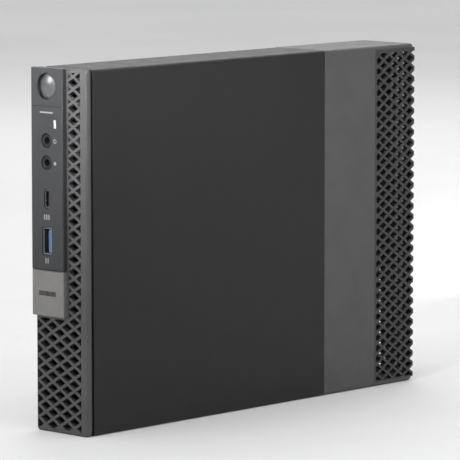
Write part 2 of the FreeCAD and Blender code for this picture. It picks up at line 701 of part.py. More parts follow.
def m2_socket(y, z_low):
    body = on_board(4.2, inset(y, -1.2), (z_low, z_low + 6.0))
    slit = box((-7.6, -6.6), inset(y, -0.2), (z_low + 3.0, z_low + 7.0))
    return body.cut(slit)


def m2_screws():
    screws = []
    for y, z in ((SSD_Y, SSD_Z), (WLAN_Y, WLAN_Z)):
        middle = (y[0] + y[1]) / 2
        post = rod_x(1.7, (BOARD_TOP, -6.7), middle, z[1])
        seat = rod_x(2.8, (BOARD_TOP, -7.5), middle, z[1])
        head = rod_x(2.8, (-6.7, -5.7), middle, z[1])
        screws.append(join([post, seat, head]))
    return screws


def coin_cell_holder():
    body = rod_x(COIN_RADIUS + 2.2, (BOARD_TOP, BOARD_TOP + 4.4), *COIN_YZ)
    return body.cut(rod_x(COIN_RADIUS + 0.2, (BOARD_TOP + 0.8, BOARD_TOP + 6.0), *COIN_YZ))


def coin_cell():
    cell = rod_x(COIN_RADIUS, (BOARD_TOP + 0.8, BOARD_TOP + 4.0), *COIN_YZ)
    return bevel(cell, 0.5, lambda c: c.x > BOARD_TOP + 3.9)


def chipset_sink():
    y, z = CHIPSET_YZ
    side = 26.0
    plate = box((BOARD_TOP + 1.5, BOARD_TOP + 3.0), around(y, side), around(z, side))
    fins = []
    for i in range(8):
        fin_z = z - 12.0 + 3.4 * i
        fins.append(box((BOARD_TOP + 2.9, BOARD_TOP + 6.0), around(y, side), around(fin_z, 1.0)))
    return join([plate] + fins)


def power_inductors():
    blocks = []
    for i in range(6):
        block = on_board(5.4, around(21.6, 8.0), around(22.0 + 10.6 * i, 8.0))
        blocks.append(round_along(block, V(1, 0, 0), 1.0))
    return blocks


def power_capacitors():
    cans = []
    for i in range(7):
        can = rod_x(2.6, (BOARD_TOP, BOARD_TOP + 7.0), 29.0, 20.0 + 10.0 * i)
        cans.append(bevel(can, 0.4, lambda c: c.x > BOARD_TOP + 6.9))
    return cans


def board_chips():
    return [on_board(height, around(y, side), around(z, side)) for y, z, side, height in CHIPS]


# ---- drive bay ----------------------------------------------------------------------
def drive_bay_bracket():
    """Two rails on legs over the memory, tied by a cross strap."""
    deck_x = (0.2, 1.2)
    solids = []
    for side, z_out in ((-1, DRIVE_Z[0] - RAIL_REACH), (1, DRIVE_Z[1] + RAIL_REACH)):
        z = (z_out, z_out + 8.0) if side < 0 else (z_out - 8.0, z_out)
        deck = box(deck_x, RAIL_Y, z)
        fence_z = (z_out, z_out + 1.0) if side < 0 else (z_out - 1.0, z_out)
        fence = box((deck_x[0], 8.0), RAIL_Y, fence_z)
        legs = []
        for y in (-104.5, -0.5):
            legs.append(box((BOARD_TOP, deck_x[1]), around(y, 5.0), fence_z))
            foot_z = (z_out - 3.0, z_out + 1.0) if side < 0 else (z_out - 1.0, z_out + 3.0)
            legs.append(box((BOARD_TOP, BOARD_TOP + 1.0), around(y, 5.0), foot_z))
        solids.append(join([deck, fence] + legs))
    tie_z = inset(DRIVE_Z, -RAIL_REACH)
    tie = box(deck_x, (-64.0, -50.0), tie_z)
    return join(solids + [tie])


def drive_caddy():
    """Shallow tray with a finger tab, open at the connector end."""
    x = (1.5, 10.2)
    y = (DRIVE_Y[0] - 1.6, DRIVE_Y[1])
    z = inset(DRIVE_Z, -2.0)
    floor = box((x[0], x[0] + 1.2), y, z)
    sides = [
        box(x, y, (z[0], DRIVE_Z[0] - 0.3)),
        box(x, y, (DRIVE_Z[1] + 0.3, z[1])),
        box(x, (y[0], DRIVE_Y[0] - 0.2), z),
    ]
    tab_z = DRIVE_Z[0] + 35.0
    tab = box((x[1] - 1.4, x[1]), (y[0], DRIVE_Y[0] + 9.0), around(tab_z, 22.0))
    tab = tab.cut(rod_x(3.5, (8.0, 12.0), DRIVE_Y[0] + 3.6, tab_z))
    vents = []
    for i in range(4):
        vent_y = around(-90.0 + 23.0 * i, 12.0)
        for j in range(3):
            vents.append(box((x[0] - 1, x[0] + 2), vent_y, around(106.0 + 21.0 * j, 12.0)))
    bumps = []
    for y in (-90.0, -20.0):
        for z, low in ((DRIVE_Z[0] - 1.0, True), (DRIVE_Z[1] + 1.0, False)):
            end = (z, z + 1.6) if low else (z - 1.6, z)
            bumps.append(rod_z(1.1, DRIVE_X[0] + 3.0, y, end))
    return join([floor.cut(vents)] + sides + [tab] + bumps)


def drive():
    """2.5 inch drive, 7 mm class, with side screw holes and a recessed plug."""
    body = box((DRIVE_X[0], 8.6), DRIVE_Y, DRIVE_Z)
    body = round_along(body, V(1, 0, 0), 1.2)
    plug = box((3.9, 7.0), (DRIVE_Y[1] - 4.2, DRIVE_Y[1] + 1), around(DRIVE_PLUG_Z, 36.0))
    holes = []
    for y in (-90.0, -20.0):
        for z in (DRIVE_Z[0], DRIVE_Z[1]):
            holes.append(rod_z(1.4, DRIVE_X[0] + 3.0, y, (z - 3.0, z + 3.0)))
    groove = box((8.1, 9.0), (DRIVE_Y[0] + 6, DRIVE_Y[1] - 30), inset(DRIVE_Z, 6.0))
    return body.cut([plug, groove] + holes)


def drive_connector():
    riser = box((BOARD_TOP, 9.0), (DRIVE_Y[1] + 0.5, DRIVE_Y[1] + 5.0), around(DRIVE_PLUG_Z, 42.0))
    tongue = box((4.7, 6.2), (DRIVE_Y[1] - 3.6, DRIVE_Y[1] + 0.6), around(DRIVE_PLUG_Z, 34.0))
    return join([riser, tongue])


# ---- speaker, front and rear connectors ---------------------------------------------
def speaker():
    """Slim speaker box behind the lower lattice: cone recess, dome and port."""
    x, z = 1.2, 20.0
    front = SPEAKER_Y[0]
    body = box((-7.6, 11.0), SPEAKER_Y, (9.0, 56.0))
    body = round_along(body, V(0, 1, 0), 3.0)
    recess = rod_y(7.6, x, (front - 1, front + 2.0), z)
    port = box(around(x, 6.0), (front - 1, front + 3.0), around(z + 26.0, 10.0))
    dome = rod_y(3.0, x, (front + 1.0, front + 2.6), z)
    return join([body.cut([recess, port]), dome])


def front_usb():
    y = (Y_FRONT + 0.5, USB_A_BACK)
    shell = usb_shell(PORT_X, USB_A_Z, y, 13.2, 5.8, 0.4, True)
    back = box(around(PORT_X, 4.9), (y[1] - 3.0, y[1] - 0.4), around(USB_A_Z, 12.3))
    blade = box((PORT_X + 0.3, PORT_X + 2.1), (y[0] + 0.6, y[1] - 3.0), around(USB_A_Z, 11.2))
    return shell, join([back, blade])


def rear_usb():
    """Two stacks of two USB-A sockets: shells and tongues."""
    shells = []
    tongues = []
    y = (REAR_USB_Y, REAR_WALL_Y[1] + 0.6)
    for z in REAR_USB_Z:
        outer = box((BOARD_TOP, 6.0), y, around(z, 13.4))
        hollows = []
        for x in (-6.4, 2.4):
            hollows.append(box(around(x, 5.3), (y[0] + 3.0, y[1] + 1), around(z, 12.5)))
            tongues.append(box((x - 2.0, x - 0.2), (y[0] + 3.0, y[1] - 0.8), around(z, 11.2)))
        shells.append(outer.cut(hollows))
    return shells, tongues


def display_ports():
    shells = []
    tongues = []
    y = (DISPLAY_Y, REAR_WALL_Y[1] + 0.5)
    x = (-9.4, -3.8)
    for z in DISPLAY_Z:
        outer = bevel_corner(box(x, y, around(z, 16.8)), x[1], z + 8.4, 2.0)
        inner = box(inset(x, 0.5), (y[0] + 4.0, y[1] + 1), around(z, 15.8))
        inner = bevel_corner(inner, x[1] - 0.5, z + 7.9, 1.8)
        foot = box((BOARD_TOP, x[0] + 0.2), (y[0], 48.0), around(z, 15.0))
        shells.append(join([outer.cut(inner), foot]))
        tongues.append(box(around(-6.4, 1.3), (y[0] + 4.0, y[1] - 1.2), around(z - 0.6, 12.6)))
    return shells, tongues


def bevel_corner(block, x, z, size):
    """Cut the long edge of a connector shell that keys its plug."""
    return bevel(block, size, lambda c: abs(c.x - x) < 0.01 and abs(c.z - z) < 0.01)


def network_socket():
    y = (LAN_Y, REAR_WALL_Y[1] + 0.6)
    outer = box((BOARD_TOP, 4.0), y, around(LAN_Z, 16.2))
    cavity = box((-7.8, 1.2), (y[0] + 5.0, y[1] + 1), around(LAN_Z, 11.8))
    latch = box((0.6, 3.0), (y[0] + 9.0, y[1] + 1), around(LAN_Z, 5.0))
    return outer.cut([cavity, latch])


def network_contacts():
    pins = []
    for i in range(8):
        z = LAN_Z + (i - 3.5) * 1.02
        pins.append(box((-7.8, -7.2), (LAN_Y + 5.0, REAR_WALL_Y[0] - 1.0), around(z, 0.5)))
    return pins


def dc_inlet():
    x = PORT_X + 1.5
    y = (DC_Y, REAR_WALL_Y[1] + 0.6)
    body = box((BOARD_TOP, -1.0), (y[0], REAR_WALL_Y[0] - 0.4), around(DC_Z, 9.6))
    mouth = rod_y(4.7, x, (REAR_WALL_Y[0] - 1.0, y[1]), DC_Z)
    bore = rod_y(3.7, x, (y[0] + 3.0, y[1] + 1), DC_Z)
    return join([body, mouth]).cut(bore)


def dc_pin():
    x = PORT_X + 1.5
    root = DC_Y + 3.0
    sleeve = rod_y(0.5, x, (root, REAR_WALL_Y[1] - 1.5), DC_Z)
    return join([sleeve, rod_y(1.6, x, (root, root + 1.4), DC_Z)])


def option_blank():
    plate = box((-10.8, 2.8), (REAR_WALL_Y[0] - 1.0, REAR_WALL_Y[0]), around(OPTION_Z, 21.0))
    boss = box((-8.7, 0.7), (REAR_WALL_Y[0], REAR_WALL_Y[1]), around(OPTION_Z, 15.4))
    return join([plate, boss])


# ---- cable cover --------------------------------------------------------------------
def cable_cover_frame():
    """Collar round the connectors, with top and bottom walls out to the rear end."""
    outer = box((X_BASE, X_COVER), (COLLAR_Y[0], Y_END), (0, TOP))
    outer = round_along(outer, V(0, 1, 0), 1.6)
    outer = round_along(outer, V(1, 0, 0), 2.6, lambda c: c.y > Y_END - 0.1)
    wall = COLLAR_WALL
    hollow = box(inset((X_BASE, X_COVER), wall), (COLLAR_Y[0] - 1, Y_END + 1), inset((0, TOP), wall))
    sides = box((X_BASE - 1, X_COVER + 1), (COLLAR_Y[1], Y_END + 1), inset((0, TOP), wall))
    frame = outer.cut([hollow, sides])
    boss = rod_x(6.5, (X_BASE + wall - 0.2, -14.5), CLAMP_Y, CLAMP_Z)
    posts = []
    for side in (-1, 1):
        z = CLAMP_Z + side * 11.5
        posts.append(box((X_BASE + wall - 0.2, -13.0), around(CLAMP_Y, 10.0), around(z, 4.0)))
        cheek = box((-13.1, -10.8), around(CLAMP_Y, 10.0), around(z + side * 1.4, 1.2))
        posts.append(cheek)
    tongues = []
    root = COLLAR_Y[0] + 8.0
    for z in TONGUE_Z:
        tongues.append(box((-15.5, -14.0), (REAR_WALL_Y[0] - 4.0, root), around(z, 13.0)))
        tongues.append(box((X_BASE + wall - 0.2, -14.0), (COLLAR_Y[0], root), around(z, 13.0)))
    frame = join([frame, boss] + posts + tongues)
    cuts = [
        rod_x(3.9, (X_BASE - 1, X_BASE + 1.9), CLAMP_Y, CLAMP_Z),
        rod_x(2.2, (X_BASE - 1, -12.0), CLAMP_Y, CLAMP_Z),
    ]
    return frame.cut(cuts)


def cable_cover_screw():
    """Cross-head screw in a counterbore of the collar; it draws the clamp bar in."""
    head = rod_x(3.5, (X_BASE + 0.2, X_BASE + 1.8), CLAMP_Y, CLAMP_Z)
    shank = rod_x(1.9, (X_BASE + 1.8, -9.6), CLAMP_Y, CLAMP_Z)
    drive = [
        box((X_BASE - 1, X_BASE + 1.2), around(CLAMP_Y, 4.0), around(CLAMP_Z, 0.8)),
        box((X_BASE - 1, X_BASE + 1.2), around(CLAMP_Y, 0.8), around(CLAMP_Z, 4.0)),
    ]
    return join([head, shank]).cut(drive)


def cable_cover_clamp_bar():
    bar = box((-12.7, -10.6), around(CLAMP_Y, 7.0), around(CLAMP_Z, 23.0))
    return bar.cut(rod_x(2.2, (-14.0, -9.0), CLAMP_Y, CLAMP_Z))


def side_grille(x, mesh_from):
    """Lattice panel over the open length of one side, its openings above a height."""
    y = (COLLAR_Y[1], Y_END)
    outline = rectangle((y[0] + 1.6, y[1] + 4.0), (mesh_from, GRILLE_Z[1] - 2.0))
    field = flat_face("yz", x[0] - 1, outline)
    holes = lattice_holes("yz", x[0] - 1, GRILLE_THICK + 2, field, (y[0] + 3.0, 3.2), **GRILLE_MESH)
    return box(x, y, GRILLE_Z).cut(Part.makeCompound(holes))


def inner_grille():
    """Lattice on the base side, with the opening that the cables leave through."""
    x = (X_BASE, X_BASE + GRILLE_THICK)
    exit_hole = box((x[0] - 1, x[1] + 1), CABLE_EXIT_Y, CABLE_EXIT_Z)
    exit_hole = round_along(exit_hole, V(1, 0, 0), 2.0)
    return side_grille(x, CABLE_EXIT_Z[1] + 2.4).cut(exit_hole)


def rear_grille():
    x = inset((X_BASE, X_COVER), GRILLE_THICK)
    y = (Y_END - GRILLE_THICK, Y_END)
    outline = rectangle(inset(x, 0.2), (GRILLE_Z[0] + 2.0, GRILLE_Z[1] - 2.0))
    field = flat_face("xz", y[0] - 1, outline)
    holes = lattice_holes("xz", y[0] - 1, GRILLE_THICK + 2, field, (0.0, 3.2), **GRILLE_MESH)
    return box(x, y, GRILLE_Z).cut(Part.makeCompound(holes))


# ---- write every node ---------------------------------------------------------------
usb_front_shell, usb_front_tongue = front_usb()
usb_rear_shells, usb_rear_tongues = rear_usb()
display_shells, display_tongues = display_ports()

NODES = {
    "front_bezel": front_bezel(),
    "io_strip": io_strip(),
    "port_marks": port_marks(),
    "badge_plate": badge_plate(),
    "badge_mark": badge_mark(),
    "power_button": power_button(),
    "activity_light_pipe": light_pipe(),
    "power_switch": join([
        on_board(5.8, (-109.8, -104.5), around(BUTTON_Z, 6.4)),
        rod_y(1.2, PORT_X, (-110.3, -109.5), BUTTON_Z),
    ]),
    "audio_jacks": [audio_jack(z) for z in AUDIO_Z.values()],
    "usb_c_shell": usb_c_shell(),
    "usb_a_front_shell": usb_front_shell,
    "usb_a_front_tongue": usb_front_tongue,
    "chassis_base": chassis_base(),
    "chassis_front_panel": chassis_front_panel(),
    "chassis_rear_panel": chassis_rear_panel(),
    "threaded_inserts": mounting_inserts() + [thumbscrew_bush()],
    "rubber_feet": rubber_feet(),
    "padlock_loop": padlock_loop(),
    "thumbscrew": thumbscrew(),
    "side_cover": side_cover(),
    "system_board": system_board(),
    "board_posts": board_posts(),
    "board_screws": board_screws() + m2_screws() + blower_screws(),
    "processor_socket": processor_socket(),
    "processor": processor(),
    "heatsink": heatsink(),
    "heatsink_screws": heatsink_screws(),
    "blower_housing": blower_housing(),
    "blower_motor": blower_motor(),
    "blower_impeller": impeller(),
    "card_sockets": memory_sockets() + [
        m2_socket(SSD_Y, SSD_Z[0] - 2.0),
        m2_socket(WLAN_Y, WLAN_Z[0] - 2.0),
    ],
    "memory_modules": memory_modules(),
    "m2_solid_state_drive": card_on_board(SSD_Y, SSD_Z, SSD_CHIPS),
    "wireless_card": card_on_board(WLAN_Y, WLAN_Z, WLAN_CHIPS),
    "coin_cell_holder": coin_cell_holder(),
    "coin_cell": coin_cell(),
    "chipset_heatsink": chipset_sink(),
    "power_inductors": power_inductors(),
    "power_capacitors": power_capacitors(),
    "board_chips": board_chips(),
    "drive_bay_bracket": drive_bay_bracket(),
    "drive_caddy": drive_caddy(),
    "hard_drive": drive(),
    "drive_connector": drive_connector(),
    "speaker": speaker(),
    "usb_a_rear_shells": usb_rear_shells,
    "display_port_shells": display_shells,
    "port_tongues": [usb_c_tongue()] + usb_rear_tongues + display_tongues,
    "network_socket": network_socket(),
    "network_contacts": network_contacts(),
    "dc_inlet": dc_inlet(),
    "dc_inlet_pin": dc_pin(),
    "option_blank": option_blank(),
    "cable_cover_frame": cable_cover_frame(),
    "cable_cover_grille_outer": side_grille((X_COVER - GRILLE_THICK, X_COVER), GRILLE_Z[0] + 0.8),
    "cable_cover_grille_inner": inner_grille(),
    "cable_cover_grille_rear": rear_grille(),
    "cable_cover_screw": cable_cover_screw(),
    "cable_cover_clamp_bar": cable_cover_clamp_bar(),
}

for name, shapes in NODES.items():
    save(name, shapes)
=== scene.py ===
import json
import math
import random

import bmesh
import bpy
from mathutils import Matrix, Vector


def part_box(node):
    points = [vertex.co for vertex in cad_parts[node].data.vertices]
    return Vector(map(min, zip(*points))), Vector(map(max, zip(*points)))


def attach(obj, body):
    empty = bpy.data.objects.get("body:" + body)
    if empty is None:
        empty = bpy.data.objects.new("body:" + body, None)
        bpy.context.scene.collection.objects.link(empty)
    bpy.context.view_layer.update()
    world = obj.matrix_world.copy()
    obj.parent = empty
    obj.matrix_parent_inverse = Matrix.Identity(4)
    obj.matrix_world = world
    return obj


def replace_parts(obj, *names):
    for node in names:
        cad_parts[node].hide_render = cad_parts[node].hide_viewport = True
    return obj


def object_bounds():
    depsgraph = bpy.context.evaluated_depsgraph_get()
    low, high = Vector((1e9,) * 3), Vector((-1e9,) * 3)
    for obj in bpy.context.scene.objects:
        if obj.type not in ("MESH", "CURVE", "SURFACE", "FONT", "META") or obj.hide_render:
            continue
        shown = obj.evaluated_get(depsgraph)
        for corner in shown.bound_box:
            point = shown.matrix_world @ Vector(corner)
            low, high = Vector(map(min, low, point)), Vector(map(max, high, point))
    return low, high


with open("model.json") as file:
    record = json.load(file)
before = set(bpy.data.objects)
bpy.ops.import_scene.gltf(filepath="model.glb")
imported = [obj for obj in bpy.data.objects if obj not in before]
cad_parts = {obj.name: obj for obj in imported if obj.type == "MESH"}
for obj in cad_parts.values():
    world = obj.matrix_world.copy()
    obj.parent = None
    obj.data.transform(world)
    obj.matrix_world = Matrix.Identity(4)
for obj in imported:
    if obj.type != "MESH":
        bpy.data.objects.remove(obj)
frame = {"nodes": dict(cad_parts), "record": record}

NODES = frame["nodes"]
MM = 0.001

# Places tried for small packages, and runs of chip resistors, on the system board.
PACKAGE_TRIES = 46
CHIP_RUNS = 150
# Spacing and leg pitch in mm of the parts that repeat.
HEADER_PITCH = 2.0
SMALL_LEG_PITCH = 0.65
PACKAGE_LEG_PITCH = 0.8
# Pin headers: place along Y and Z in mm, pins in a row, and rows.
HEADERS = [(40.0, 165.0, 4, 1), (-40.0, 84.5, 4, 1), (36.0, 88.0, 5, 2), (-104.0, 82.0, 3, 1)]
# Packages on the two cards: start and stop along Z from the card's low edge, and width.
CARD_PACKAGES = {
    "m2_solid_state_drive": ((10.8, 22.8, 13.0), (26.3, 43.3, 12.0), (48.3, 65.3, 12.0)),
    "wireless_card": ((7.3, 24.3, 16.0),),
}

CAD_LOW, CAD_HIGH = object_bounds()
random.seed(7)

scene = bpy.context.scene
scene.view_settings.view_transform = "Standard"
scene.view_settings.look = "None"


# ---- material building blocks ---------------------------------------------------------
class Surface:
    """A procedural material built up from a base colour, mottling, grain, and paler edges that are
    partly worn patches and partly a painted highlight.
    """

    def __init__(self, name, colour, roughness, metallic=0.0, specular=0.5):
        self.material = bpy.data.materials.new(name)
        self.material.use_nodes = True
        self.tree = self.material.node_tree
        self.shader = self.tree.nodes["Principled BSDF"]
        self.shader.inputs["Metallic"].default_value = metallic
        self.shader.inputs["Specular IOR Level"].default_value = specular
        self.place = self.tree.nodes.new("ShaderNodeTexCoord").outputs["Object"]
        self.base_colour = (*colour, 1)
        self.colour = None
        self.roughness = None
        self.base_roughness = roughness
        self.normal = None

    def node(self, kind, **values):
        made = self.tree.nodes.new(kind)
        for key, value in values.items():
            setattr(made, key, value)
        return made

    def link(self, a, b):
        self.tree.links.new(a, b)

    def stretch(self, scale):
        made = self.node("ShaderNodeMapping")
        made.inputs["Scale"].default_value = scale
        self.link(self.place, made.inputs["Vector"])
        return made.outputs["Vector"]

    def noise(self, scale, detail=3.0, stretch=None, roughness=0.55):
        made = self.node("ShaderNodeTexNoise")
        made.inputs["Scale"].default_value = scale
        made.inputs["Detail"].default_value = detail
        made.inputs["Roughness"].default_value = roughness
        self.link(self.stretch(stretch) if stretch else self.place, made.inputs["Vector"])
        return made.outputs["Fac"]

    def cells(self, scale, feature="F1", stretch=None):
        made = self.node("ShaderNodeTexVoronoi", feature=feature)
        made.inputs["Scale"].default_value = scale
        self.link(self.stretch(stretch) if stretch else self.place, made.inputs["Vector"])
        return made.outputs["Distance"]

    def spread(self, value, low, high, to_low=0.0, to_high=1.0):
        made = self.node("ShaderNodeMapRange")
        made.inputs["From Min"].default_value = low
        made.inputs["From Max"].default_value = high
        made.inputs["To Min"].default_value = to_low
        made.inputs["To Max"].default_value = to_high
        self.link(value, made.inputs["Value"])
        return made.outputs["Result"]

    def feed(self, socket):
        """Give a socket the colour built so far."""
        if self.colour is None:
            socket.default_value = self.base_colour
        else:
            self.link(self.colour, socket)

    def mix(self, factor, other):
        """Blend the colour so far towards another by a mask."""
        made = self.node("ShaderNodeMix", data_type="RGBA")
        self.link(factor, made.inputs["Factor"])
        self.feed(made.inputs["A"])
        made.inputs["B"].default_value = (*other, 1)
        self.colour = made.outputs["Result"]
        return self

    def mottle(self, other, scale, low=0.35, high=0.7, stretch=None, detail=4.0):
        return self.mix(self.spread(self.noise(scale, detail, stretch), low, high), other)

    def gloss(self, scale, amount, stretch=None):
        """Vary the roughness about its base value."""
        low = max(0.02, self.base_roughness - amount)
        high = min(1.0, self.base_roughness + amount)
        self.roughness = self.spread(self.noise(scale, 4.0, stretch), 0.3, 0.7, low, high)
        return self

    def bump(self, height, strength, distance):
        made = self.node("ShaderNodeBump")
        made.inputs["Strength"].default_value = strength
        made.inputs["Distance"].default_value = distance
        self.link(height, made.inputs["Height"])
        if self.normal is not None:
            self.link(self.normal, made.inputs["Normal"])
        self.normal = made.outputs["Normal"]
        return self

    def soft_edges(self, radius):
        """Rounded edges, drawn by bending the shading normal."""
        made = self.node("ShaderNodeBevel", samples=4)
        made.inputs["Radius"].default_value = radius
        if self.normal is not None:
            self.link(self.normal, made.inputs["Normal"])
        self.normal = made.outputs["Normal"]
        return self

    def edge_wear_and_painted_highlight(self, radius, colour, reach=0.35):
        """Paler colour where the surface turns a corner: partly a painted highlight along the
        edges, partly worn patches.
        """
        bevel = self.node("ShaderNodeBevel", samples=4)
        bevel.inputs["Radius"].default_value = radius
        geometry = self.node("ShaderNodeNewGeometry")
        dot = self.node("ShaderNodeVectorMath", operation="DOT_PRODUCT")
        self.link(bevel.outputs["Normal"], dot.inputs[0])
        self.link(geometry.outputs["True Normal"], dot.inputs[1])
        edge = self.spread(dot.outputs["Value"], 0.995, 0.8)
        patches = self.spread(self.noise(180.0, 3.0), 0.35, 0.65, 0.3 * reach, reach)
        both = self.node("ShaderNodeMath", operation="MULTIPLY")
        self.link(edge, both.inputs[0])
        self.link(patches, both.inputs[1])
        return self.mix(both.outputs["Value"], colour)

    def done(self):
        self.feed(self.shader.inputs["Base Color"])
        if self.roughness is None:
            self.shader.inputs["Roughness"].default_value = self.base_roughness
        else:
            self.link(self.roughness, self.shader.inputs["Roughness"])
        if self.normal is not None:
            self.link(self.normal, self.shader.inputs["Normal"])
        return self.material


def moulded(
    name,
    colour,
    roughness,
    grain=2600.0,
    depth=0.00004,
    strength=0.35,
    radius=0.0003,
    specular=0.5,
    edge_wear_and_highlight_amount=0.3,
):
    """Moulded plastic: spark-eroded grain, faint flow mottling, soft edges."""
    shade = tuple(c * 0.86 for c in colour)
    pale = tuple(min(1.0, c * 1.7 + 0.02) for c in colour)
    made = Surface(name, colour, roughness, 0.0, specular)
    made.mottle(shade, 55.0).gloss(240.0, 0.07)
    made.soft_edges(radius)
    made.bump(made.noise(grain, 2.0), strength, depth)
    # Paler edges: partly a painted highlight, partly worn patches.
    made.edge_wear_and_painted_highlight(radius * 1.4, pale, edge_wear_and_highlight_amount)
    return made.done()


def sheet_paint(name, colour, roughness, specular=0.5):
    """Textured powder paint on folded sheet: fine orange-peel cells and a faint dust."""
    shade = tuple(c * 0.9 for c in colour)
    pale = tuple(min(1.0, c * 1.8 + 0.03) for c in colour)
    made = Surface(name, colour, roughness, 0.0, specular)
    made.mottle(shade, 28.0).mottle(pale, 1900.0, 0.62, 0.9).gloss(120.0, 0.05)
    made.soft_edges(0.0004)
    made.bump(made.cells(1300.0), 0.25, 0.00006)
    made.bump(made.noise(3400.0, 2.0), 0.2, 0.00003)
    # Paler edges: partly a painted highlight, partly worn patches.
    made.edge_wear_and_painted_highlight(0.0006, pale, 0.35)
    return made.done()


def drawn_metal(name, colour, roughness, stretch=(1.0, 1.0, 1.0), grain=900.0, metallic=1.0):
    """Bare or plated metal with drawing lines along the long direction."""
    shade = tuple(c * 0.72 for c in colour)
    made = Surface(name, colour, roughness, metallic)
    made.mottle(shade, 70.0).gloss(300.0, 0.09, stretch)
    made.soft_edges(0.00015)
    made.bump(made.noise(grain, 3.0, stretch), 0.18, 0.00003)
    return made.done()


def spangled_zinc(name, colour):
    """Galvanised sheet: darker and lighter crystals with a fine grain."""
    made = Surface(name, colour, 0.38, 1.0)
    spangle = made.cells(160.0)
    made.mix(made.spread(spangle, 0.1, 0.8), tuple(c * 0.7 for c in colour))
    made.gloss(90.0, 0.12)
    made.soft_edges(0.0002)
    made.bump(made.noise(1500.0, 2.0), 0.12, 0.00002)
    return made.done()


def solder_mask(name):
    """Circuit board: dark green mask over copper tracks, with ground fill and vias."""
    made = Surface(name, (0.006, 0.050, 0.030), 0.32)
    tracks = made.node(
        "ShaderNodeTexWave", wave_type="BANDS", bands_direction="DIAGONAL", wave_profile="SIN"
    )
    tracks.inputs["Scale"].default_value = 240.0
    tracks.inputs["Distortion"].default_value = 6.0
    tracks.inputs["Detail"].default_value = 1.0
    tracks.inputs["Detail Scale"].default_value = 0.6
    made.link(made.stretch((0.0, 1.0, 1.0)), tracks.inputs["Vector"])
    lines = made.spread(tracks.outputs["Fac"], 0.55, 0.62)
    where = made.spread(made.noise(38.0, 2.0), 0.48, 0.53)
    both = made.node("ShaderNodeMath", operation="MULTIPLY")
    made.link(lines, both.inputs[0])
    made.link(where, both.inputs[1])
    made.mix(both.outputs["Value"], (0.014, 0.105, 0.052))
    vias = made.spread(made.cells(330.0, stretch=(0.0, 1.0, 1.0)), 0.16, 0.12)
    made.mix(vias, (0.30, 0.27, 0.16))
    made.gloss(200.0, 0.08)
    made.bump(both.outputs["Value"], 0.5, 0.00003)
    made.soft_edges(0.00015)
    return made.done()


def rubbery(name, colour):
    """Matt rubber with a coarse grain."""
    made = Surface(name, colour, 0.78, 0.0, 0.3)
    made.mottle(tuple(c * 1.8 for c in colour), 420.0, 0.5, 0.9).gloss(300.0, 0.08)
    made.soft_edges(0.0003)
    made.bump(made.noise(1800.0, 3.0), 0.4, 0.00006)
    return made.done()


def clear_plastic(name):
    """Frosted clear plastic that lets some light through."""
    made = Surface(name, (0.78, 0.80, 0.78), 0.22)
    made.shader.inputs["Transmission Weight"].default_value = 0.35
    made.shader.inputs["IOR"].default_value = 1.49
    made.mottle((0.62, 0.64, 0.62), 300.0).gloss(500.0, 0.08)
    made.bump(made.noise(900.0, 2.0), 0.15, 0.00003)
    return made.done()


def satin_button(name):
    """Satin metallic finish with a thin clear coat."""
    made = Surface(name, (0.22, 0.223, 0.228), 0.3, 0.95)
    made.shader.inputs["Coat Weight"].default_value = 0.2
    made.shader.inputs["Coat Roughness"].default_value = 0.25
    made.mottle((0.185, 0.188, 0.193), 220.0).gloss(600.0, 0.03)
    made.bump(made.noise(2400.0, 2.0), 0.08, 0.00001)
    return made.done()


def badge_paint(name):
    """Silver paint with fine metallic flakes."""
    made = Surface(name, (0.205, 0.2, 0.191), 0.38, 0.3)
    made.mottle((0.168, 0.164, 0.157), 90.0)
    made.mottle((0.305, 0.297, 0.286), 2600.0, 0.55, 0.9).gloss(350.0, 0.08)
    made.soft_edges(0.00035)
    made.bump(made.noise(3000.0, 2.0), 0.2, 0.00002)
    return made.done()


